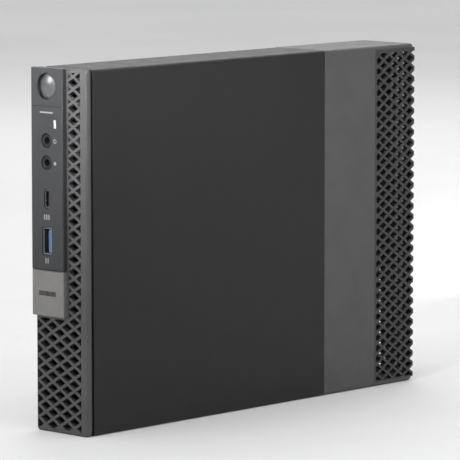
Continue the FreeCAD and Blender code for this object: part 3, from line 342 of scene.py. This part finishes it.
MATERIALS = {
    "bezel_plastic": moulded(
        "bezel_plastic", (0.070, 0.070, 0.072), 0.42, specular=0.4, edge_wear_and_highlight_amount=0.04
    ),
    "strip_plastic": moulded("strip_plastic", (0.036, 0.0368, 0.039), 0.42, specular=0.3),
    "mark_ink": moulded("mark_ink", (0.27, 0.27, 0.27), 0.55, radius=0.0001),
    "badge_silver": badge_paint("badge_silver"),
    "badge_dark": moulded("badge_dark", (0.035, 0.034, 0.032), 0.3, radius=0.0001),
    "button_satin": satin_button("button_satin"),
    "light_pipe": clear_plastic("light_pipe"),
    "black_plastic": moulded("black_plastic", (0.010, 0.010, 0.0105), 0.5, specular=0.3),
    "port_steel": drawn_metal("port_steel", (0.48, 0.475, 0.46), 0.3, (1.0, 0.12, 1.0)),
    "usb_blue": moulded("usb_blue", (0.055, 0.14, 0.29), 0.38),
    # Painted shade: the whole chassis is coloured near-black so that the holes of the front lattice
    # read dark.
    "chassis_black": sheet_paint("chassis_black", (0.008, 0.008, 0.008), 0.6, 0.25),
    "zinc": spangled_zinc("zinc", (0.55, 0.56, 0.57)),
    "rubber": rubbery("rubber", (0.012, 0.012, 0.012)),
    "cover_charcoal": sheet_paint("cover_charcoal", (0.0155, 0.0155, 0.0158), 0.46, 0.25),
    "board_green": solder_mask("board_green"),
    "screw_steel": drawn_metal("screw_steel", (0.50, 0.50, 0.50), 0.3),
    "lid_nickel": drawn_metal("lid_nickel", (0.62, 0.60, 0.56), 0.3, (1.0, 0.1, 1.0)),
    "sink_aluminium": drawn_metal("sink_aluminium", (0.52, 0.525, 0.53), 0.34, (1.0, 0.08, 1.0)),
    "ferrite": moulded("ferrite", (0.07, 0.07, 0.072), 0.62, grain=1500.0, strength=0.6),
    "chip_black": moulded("chip_black", (0.022, 0.022, 0.023), 0.48, radius=0.0001),
    "caddy_blue": moulded("caddy_blue", (0.02, 0.06, 0.17), 0.45),
    "contact_gold": drawn_metal("contact_gold", (0.85, 0.60, 0.25), 0.22),
    "cable_grey": moulded("cable_grey", (0.068, 0.068, 0.069), 0.44, specular=0.4),
    # Painted shade: the grille is the cable cover's grey made darker, so that the inside of the
    # mesh reads dark.
    "mesh_grey": moulded("mesh_grey", (0.036, 0.036, 0.037), 0.42, specular=0.35),
}


def dress(obj, slot_name):
    obj.data.materials.clear()
    obj.data.materials.append(MATERIALS[slot_name])


for part in frame["record"]["subparts"]:
    dress(NODES[part["node"]], part["material_slot"])


# ---- mesh building --------------------------------------------------------------------
class Build:
    """Gathers bevelled blocks and turned shapes into one mesh, with sizes in mm."""

    def __init__(self):
        self.mesh = bmesh.new()

    def block(self, low, high, bevel=0.0, turn=0.0):
        """Block between two corners, turned about X through its own middle."""
        corners = bmesh.ops.create_cube(self.mesh, size=1.0)["verts"]
        low, high = Vector(low), Vector(high)
        middle, size = (low + high) / 2, high - low
        swing = Matrix.Rotation(turn, 3, "X")
        for corner in corners:
            offset = Vector([corner.co[k] * size[k] for k in range(3)])
            corner.co = (middle + swing @ offset) * MM
        if bevel:
            edges = list({edge for corner in corners for edge in corner.link_edges})
            bmesh.ops.bevel(
                self.mesh, geom=edges, offset=bevel * MM, segments=2, affect="EDGES", profile=0.5
            )

    def turned(self, centre, axis, profile, steps=48):
        """Surface of revolution through (radius, distance along the axis) pairs."""
        centre, along = Vector(centre), Vector(axis)
        side = along.orthogonal().normalized()
        other = along.cross(side)
        rings = []
        for radius, reach in profile:
            middle = centre + along * reach
            if radius == 0:
                rings.append([self.mesh.verts.new(middle * MM)])
                continue
            rings.append([])
            for k in range(steps):
                angle = math.tau * k / steps
                spoke = side * math.cos(angle) + other * math.sin(angle)
                rings[-1].append(self.mesh.verts.new((middle + spoke * radius) * MM))
        for a, b in zip(rings, rings[1:]):
            for k in range(steps):
                after = (k + 1) % steps
                corners = [a[k % len(a)], a[after % len(a)], b[after % len(b)], b[k % len(b)]]
                self.mesh.faces.new(list(dict.fromkeys(corners)))

    def finish(self, name, slot, body, crease=35.0):
        bmesh.ops.recalc_face_normals(self.mesh, faces=self.mesh.faces)
        data = bpy.data.meshes.new(name)
        self.mesh.to_mesh(data)
        self.mesh.free()
        for face in data.polygons:
            face.use_smooth = True
        data.set_sharp_from_angle(angle=math.radians(crease))
        obj = bpy.data.objects.new(name, data)
        scene.collection.objects.link(obj)
        data.materials.append(MATERIALS[slot])
        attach(obj, body)
        return obj


def node_box(node):
    """Corners of a CAD node in mm."""
    low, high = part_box(node)
    return low / MM, high / MM


def islands(node):
    """Corners in mm of each separate solid of a CAD node, in a fixed order."""
    data = NODES[node].data
    keys = [tuple(round(c * 1e5) for c in vertex.co) for vertex in data.vertices]
    parent = {key: key for key in keys}

    def top(key):
        while parent[key] != key:
            parent[key] = parent[parent[key]]
            key = parent[key]
        return key

    for face in data.polygons:
        first = top(keys[face.vertices[0]])
        for index in face.vertices:
            parent[top(keys[index])] = first
            first = top(first)
    groups = {}
    for vertex, key in zip(data.vertices, keys):
        groups.setdefault(top(key), []).append(vertex.co / MM)
    boxes = []
    for points in groups.values():
        low = Vector([min(p[k] for p in points) for k in range(3)])
        high = Vector([max(p[k] for p in points) for k in range(3)])
        boxes.append((low, high))
    return sorted(boxes, key=lambda b: tuple(round(c, 2) for c in b[0]))


# ---- front: button, jacks, port contacts ------------------------------------------------
def button_cap():
    """Domed cap with a rolled rim, turned on the power button's axis."""
    low, high = node_box("power_button")
    centre = ((low.x + high.x) / 2, low.y, (low.z + high.z) / 2)
    length = high.y - low.y
    collar = (high.x - low.x) / 2
    rim = collar - 0.7
    profile = [(0, 0.0)]
    sag = 1.35
    for k in range(1, 15):
        radius = (rim - 0.75) * k / 14
        profile.append((radius, sag * (radius / rim) ** 2))
    profile += [(rim - 0.68, sag + 0.08), (rim - 0.58, sag + 0.08), (rim - 0.5, sag - 0.04)]
    profile += [(rim - 0.25, sag - 0.02), (rim - 0.06, sag + 0.14), (rim, sag + 0.4), (rim, 2.1)]
    profile += [(collar, 2.1), (collar, 2.9), (collar - 0.1, 3.0), (2.3, 3.0), (2.3, length - 0.4)]
    profile += [(1.9, length), (0, length)]
    cap = Build()
    cap.turned(centre, (0, 1, 0), profile, 96)
    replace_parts(cap.finish("button_cap", "button_satin", "power_button"), "power_button")


def jack_lips():
    """Rolled lips round the two audio sockets, with a sprung contact inside each."""
    lips, springs = Build(), Build()
    for low, high in islands("audio_jacks"):
        centre = ((low.x + high.x) / 2, low.y, (low.z + high.z) / 2)
        profile = [(2.35, 0.12), (2.5, -0.1), (2.75, -0.2)]
        profile += [(3.0, -0.2), (3.25, -0.08), (3.35, 0.12)]
        lips.turned(centre, (0, 1, 0), profile + profile[:1], 64)
        barrel = [(1.78, 4.0), (1.78, 8.0), (1.6, 8.2), (1.6, 4.2)]
        springs.turned(centre, (0, 1, 0), barrel + barrel[:1], 48)
    lips.finish("audio_jack_lips", "black_plastic", "chassis")
    springs.finish("audio_jack_barrels", "lid_nickel", "chassis")


def tongue_contacts():
    """Gold strips on the tongues of the front USB sockets."""
    gold = Build()
    low, high = node_box("usb_a_front_tongue")
    face = high.x - 1.8
    for k in range(4):
        z = (low.z + high.z) / 2 + (k - 1.5) * 2.3
        gold.block((face - 0.09, low.y + 1.1, z - 0.5), (face, low.y + 9.0, z + 0.5), 0.03)
    for low, high in islands("port_tongues"):
        if low.y > 0:
            continue
        count = 10
        for k in range(count):
            z = low.z + (high.z - low.z) * (k + 0.5) / count
            for x in (low.x - 0.06, high.x):
                gold.block((x, low.y + 0.3, z - 0.16), (x + 0.06, low.y + 4.0, z + 0.16))
    gold.finish("front_port_contacts", "contact_gold", "chassis")


# ---- underside --------------------------------------------------------------------------
def dished_feet():
    """Round feet with a rolled edge and a dished middle."""
    feet = Build()
    for low, high in islands("rubber_feet"):
        centre = (high.x, (low.y + high.y) / 2, (low.z + high.z) / 2)
        tall = high.x - low.x
        radius = (high.y - low.y) / 2
        profile = [(0, 0.0), (radius, 0.0), (radius, tall * 0.5), (radius - 0.15, tall * 0.85)]
        profile += [(radius - 0.6, tall), (radius - 1.5, tall), (radius - 2.0, tall - 0.15)]
        profile += [(radius - 2.3, tall - 0.45), (1.2, tall - 0.45)]
        profile += [(0.9, tall - 0.6), (0, tall - 0.6)]
        feet.turned(centre, (-1, 0, 0), profile, 72)
    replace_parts(feet.finish("rubber_feet_dished", "rubber", "chassis"), "rubber_feet")


# ---- system board -----------------------------------------------------------------------
def board_plan():
    """Areas of the board's face that CAD pieces stand on, in mm."""
    level = node_box("system_board")[1].x
    taken = []
    skipped = ("system_board", "chassis_base", "side_cover", "board_posts", "threaded_inserts")
    for node in NODES:
        if node in skipped:
            continue
        for low, high in islands(node):
            if low.x < level + 1.4 and high.x > level + 0.05:
                taken.append((low.y - 0.9, high.y + 0.9, low.z - 0.9, high.z + 0.9))
    return level, taken


def clear_of(taken, y, z, reach):
    """Whether a spot stays clear of every taken area by a margin."""
    for y0, y1, z0, z1 in taken:
        if y0 - reach < y < y1 + reach and z0 - reach < z < z1 + reach:
            return False
    return True


def small_components():
    """Seeded scatter of chip resistors and capacitors, and small packages."""
    level, taken = board_plan()
    low, high = node_box("system_board")
    bodies, ends, packages, legs = Build(), Build(), Build(), Build()
    for _ in range(PACKAGE_TRIES):
        y = random.uniform(low.y + 6, high.y - 6)
        z = random.uniform(low.z + 6, high.z - 6)
        wide = random.choice((2.6, 3.2, 4.4))
        tall = random.choice((2.2, 3.0, 4.0))
        if not clear_of(taken, y, z, max(wide, tall) / 2 + 1.2):
            continue
        packages.block(
            (level + 0.12, y - wide / 2, z - tall / 2),
            (level + 1.0, y + wide / 2, z + tall / 2),
            0.08,
        )
        pins = int(tall / SMALL_LEG_PITCH)
        for k in range(pins):
            pin_z = z + (k - (pins - 1) / 2) * SMALL_LEG_PITCH
            for side in (-1, 1):
                y0, y1 = sorted((y + side * (wide / 2 - 0.1), y + side * (wide / 2 + 0.6)))
                legs.block((level, y0, pin_z - 0.13), (level + 0.16, y1, pin_z + 0.13))
        reach_y, reach_z = wide / 2 + 0.9, tall / 2 + 0.4
        taken.append((y - reach_y, y + reach_y, z - reach_z, z + reach_z))
    for _ in range(CHIP_RUNS):
        y0 = random.uniform(low.y + 4, high.y - 4)
        z0 = random.uniform(low.z + 4, high.z - 4)
        along_y = random.random() < 0.5
        long, short, height = random.choice(((1.0, 0.5, 0.35), (1.6, 0.8, 0.45), (2.0, 1.25, 0.7)))
        for k in range(random.randint(2, 7)):
            step = k * (short + 0.55)
            y, z = (y0, z0 + step) if along_y else (y0 + step, z0)
            if not (low.y + 3 < y < high.y - 3 and low.z + 3 < z < high.z - 3):
                continue
            if not clear_of(taken, y, z, long / 2 + 0.3):
                continue
            half = (long / 2, short / 2) if along_y else (short / 2, long / 2)
            bodies.block(
                (level, y - half[0] * 0.98, z - half[1] * 0.98),
                (level + height, y + half[0] * 0.98, z + half[1] * 0.98),
            )
            for side in (-1, 1):
                if along_y:
                    middle = (y + side * half[0] * 0.78, z)
                    reach = (half[0] * 0.26, half[1] * 1.06)
                else:
                    middle = (y, z + side * half[1] * 0.78)
                    reach = (half[0] * 1.06, half[1] * 0.26)
                ends.block(
                    (level, middle[0] - reach[0], middle[1] - reach[1]),
                    (level + height + 0.03, middle[0] + reach[0], middle[1] + reach[1]),
                )
            reach_y, reach_z = half[0] + 0.25, half[1] + 0.25
            taken.append((y - reach_y, y + reach_y, z - reach_z, z + reach_z))
    bodies.finish("chip_resistors", "chip_black", "chassis")
    ends.finish("chip_resistor_ends", "lid_nickel", "chassis")
    packages.finish("small_packages", "chip_black", "chassis")
    legs.finish("small_package_legs", "lid_nickel", "chassis")


def package_legs():
    """Gull-wing legs round the flat packages that the CAD model places on the board."""
    legs = Build()
    for low, high in islands("board_chips"):
        side = high.y - low.y
        if side > 12:
            continue
        count = int((side - 1.2) / PACKAGE_LEG_PITCH)
        middle = (low + high) / 2
        for k in range(count):
            offset = (k - (count - 1) / 2) * PACKAGE_LEG_PITCH
            for sign in (-1, 1):
                near, far = sign * (side / 2 - 0.05), sign * (side / 2 + 0.75)
                y0, y1 = sorted((middle.y + near, middle.y + far))
                z = middle.z + offset
                legs.block((low.x, y0, z - 0.17), (low.x + 0.2, y1, z + 0.17))
                z0, z1 = sorted((middle.z + near, middle.z + far))
                y = middle.y + offset
                legs.block((low.x, y - 0.17, z0), (low.x + 0.2, y + 0.17, z1))
    legs.finish("package_legs", "lid_nickel", "chassis")


def card_details():
    """Black packages and gold edge contacts on the memory modules and the two cards."""
    chips, gold = Build(), Build()
    skin = 0.05
    for low, high in islands("memory_modules"):
        middle = (low.z + high.z) / 2
        for k in range(4):
            z = middle + (k - 1.5) * 16.0
            chips.block(
                (high.x - 1.1, low.y + 8.0 - skin, z - 5.0 - skin),
                (high.x + skin, low.y + 20.0 + skin, z + 5.0 + skin),
                0.12,
            )
        for k in range(58):
            z = low.z + 2.4 + k * (high.z - low.z - 4.8) / 57
            if abs(z - middle - 9.0) < 1.4:
                continue
            gold.block((low.x + 1.0, high.y - 3.2, z - 0.3), (low.x + 1.04, high.y - 0.1, z + 0.3))
    for node, packages in CARD_PACKAGES.items():
        low, high = node_box(node)
        for start, stop, wide in packages:
            middle = (low.y + high.y) / 2
            chips.block(
                (high.x - 1.2, middle - wide / 2 - skin, low.z + start - skin),
                (high.x + skin, middle + wide / 2 + skin, low.z + stop + skin),
                0.12,
            )
    chips.finish("card_packages", "chip_black", "chassis")
    gold.finish("card_edge_contacts", "contact_gold", "chassis")


def drive_details():
    """Screws and a pivot cap on the drive's lid, and a plain label."""
    low, high = node_box("hard_drive")
    screws, caps, label = Build(), Build(), Build()
    top = high.x
    for y in (low.y + 4.0, high.y - 25.0, high.y - 4.0):
        for z in (low.z + 4.0, high.z - 4.0):
            head = [(0, 0.35), (0.7, 0.35), (0.9, 0.6), (1.7, 0.55)]
            head += [(2.0, 0.3), (2.0, -0.2), (0, -0.2)]
            screws.turned((top, y, z), (1, 0, 0), head, 32)
    cap = [(0, 0.3), (6.2, 0.3), (6.6, 0.55), (7.4, 0.55), (8.0, 0.2), (8.0, -0.2), (0, -0.2)]
    caps.turned((top, high.y - 16.0, (low.z + high.z) / 2 + 20.0), (1, 0, 0), cap, 64)
    label.block(
        (top - 0.7, low.y + 14.0, low.z + 9.0),
        (top + 0.06, high.y - 34.0, high.z - 9.0),
        0.02,
    )
    screws.finish("drive_lid_screws", "screw_steel", "drive")
    caps.finish("drive_pivot_cap", "sink_aluminium", "drive")
    label.finish("drive_plain_label", "mark_ink", "drive")


def hub_cap():
    """Turned cap with three balance pockets on the impeller's hub."""
    low, high = node_box("blower_impeller")
    y, z = (low.y + high.y) / 2, (low.z + high.z) / 2
    level = 9.5
    cap = Build()
    profile = [(0, 0.35), (4.6, 0.35), (5.0, 0.15), (8.6, 0.15), (9.0, 0.45)]
    profile += [(11.6, 0.4), (12.2, 0.0), (12.2, -0.3), (0, -0.3)]
    cap.turned((level, y, z), (1, 0, 0), profile, 72)
    for k in range(3):
        angle = math.tau * k / 3
        cy, cz = y + 7.0 * math.cos(angle), z + 7.0 * math.sin(angle)
        cap.block((level + 0.1, cy - 0.9, cz - 0.9), (level + 0.55, cy + 0.9, cz + 0.9), 0.2, angle)
    cap.finish("impeller_hub_cap", "black_plastic", "impeller")


def pin_headers():
    """Black pin headers with gold pins on clear parts of the board."""
    level, taken = board_plan()
    low, high = node_box("system_board")
    shells, pins = Build(), Build()
    for y, z, count, rows in HEADERS:
        if not clear_of(taken, y, z, 2.0):
            continue
        for k in range(count):
            for row in range(rows):
                pin_y = y + row * HEADER_PITCH
                pin_z = z + k * HEADER_PITCH
                shells.block(
                    (level, pin_y - 0.98, pin_z - 0.98),
                    (level + 2.0, pin_y + 0.98, pin_z + 0.98),
                    0.25,
                )
                pins.block(
                    (level + 1.8, pin_y - 0.25, pin_z - 0.25),
                    (level + 6.0, pin_y + 0.25, pin_z + 0.25),
                    0.08,
                )
    shells.finish("pin_header_bodies", "black_plastic", "chassis")
    pins.finish("pin_header_pins", "contact_gold", "chassis")



button_cap()
jack_lips()
tongue_contacts()
dished_feet()
pin_headers()
small_components()
package_legs()
card_details()
drive_details()
hub_cap()


# ---- stage, lights, camera -------------------------------------------------------------
def stage_material():
    """Plain pale paper for the studio floor."""
    made = Surface("floor_paper", (0.84, 0.84, 0.845), 0.75, 0.0, 0.2)
    made.mottle((0.80, 0.80, 0.805), 3.0).gloss(20.0, 0.08)
    made.bump(made.noise(700.0, 3.0), 0.06, 0.0001)
    return made.done()


def backdrop(floor_z):
    """Pale round studio floor that curves up to a wall far away on every side."""
    reach, bend, rise, turns, steps = 7.0, 2.0, 5.5, 96, 12
    profile = [(reach * (k + 1) / 6, 0.0) for k in range(6)]
    for k in range(1, steps + 1):
        angle = math.pi / 2 * k / steps
        profile.append((reach + bend * math.sin(angle), bend - bend * math.cos(angle)))
    profile.append((reach + bend, rise))
    mesh = bmesh.new()
    centre = mesh.verts.new((0, 0, floor_z))
    rings = []
    for radius, height in profile:
        rings.append([])
        for k in range(turns):
            angle = math.tau * k / turns
            place = (radius * math.cos(angle), radius * math.sin(angle), floor_z + height)
            rings[-1].append(mesh.verts.new(place))
    for k in range(turns):
        after = (k + 1) % turns
        mesh.faces.new((centre, rings[0][k], rings[0][after]))
        for a, b in zip(rings, rings[1:]):
            mesh.faces.new((a[k], b[k], b[after], a[after]))
    data = bpy.data.meshes.new("studio_floor")
    mesh.to_mesh(data)
    mesh.free()
    for face in data.polygons:
        face.use_smooth = True
    obj = bpy.data.objects.new("studio_floor", data)
    scene.collection.objects.link(obj)
    data.materials.append(stage_material())


def area_light(name, azimuth, elevation, distance, size, power, aim=(0, 0, 0), spread=180.0):
    """Soft light in a direction from a point near the object's middle."""
    data = bpy.data.lights.new(name, "AREA")
    data.shape = "RECTANGLE"
    data.size, data.size_y = size
    data.energy = power
    data.spread = math.radians(spread)
    obj = bpy.data.objects.new(name, data)
    scene.collection.objects.link(obj)
    a, e = math.radians(azimuth), math.radians(elevation)
    back = Vector((math.sin(a) * math.cos(e), -math.cos(a) * math.cos(e), math.sin(e)))
    obj.location = MIDDLE + Vector(aim) + back * distance
    obj.rotation_euler = (-back).to_track_quat("-Z", "Y").to_euler()


CAMERA_AZIMUTH = 43.2
CAMERA_ELEVATION = 7.0
CAMERA_DISTANCE = 2.02
FIELD = 0.238
MIDDLE = (CAD_LOW + CAD_HIGH) / 2

backdrop(CAD_LOW.z - 0.0002)

world = bpy.data.worlds.new("studio")
world.use_nodes = True
world.node_tree.nodes["Background"].inputs["Color"].default_value = (1, 1, 1, 1)
world.node_tree.nodes["Background"].inputs["Strength"].default_value = 0.8
scene.world = world

area_light("key", 12, 52, 0.95, (0.55, 0.55), 2.5)
area_light("upper_front", 22, 20, 0.9, (0.08, 0.08), 0.24, (0, -0.11, 0.13), 17.0)
area_light("button_glint", -30, 17, 0.9, (0.20, 0.30), 0.042, (0, -0.12, 0.12), 20.0)
area_light("side_fill", 95, 30, 1.9, (1.4, 1.4), 4)
area_light("back", 215, 40, 1.8, (1.2, 1.2), 8)
area_light("top", 40, 85, 1.7, (1.4, 1.4), 2)

camera_data = bpy.data.cameras.new("camera")
camera_data.sensor_width = 36.0
camera_data.lens = 18.0 / (FIELD / 2 / CAMERA_DISTANCE)
camera_data.clip_start, camera_data.clip_end = 0.05, 50.0
camera = bpy.data.objects.new("camera", camera_data)
scene.collection.objects.link(camera)
turn, tilt = math.radians(CAMERA_AZIMUTH), math.radians(CAMERA_ELEVATION)
level_part = math.cos(tilt)
towards = Vector((math.sin(turn) * level_part, -math.cos(turn) * level_part, math.sin(tilt)))
camera.location = MIDDLE + towards * CAMERA_DISTANCE
camera.rotation_euler = (-towards).to_track_quat("-Z", "Y").to_euler()
scene.camera = camera
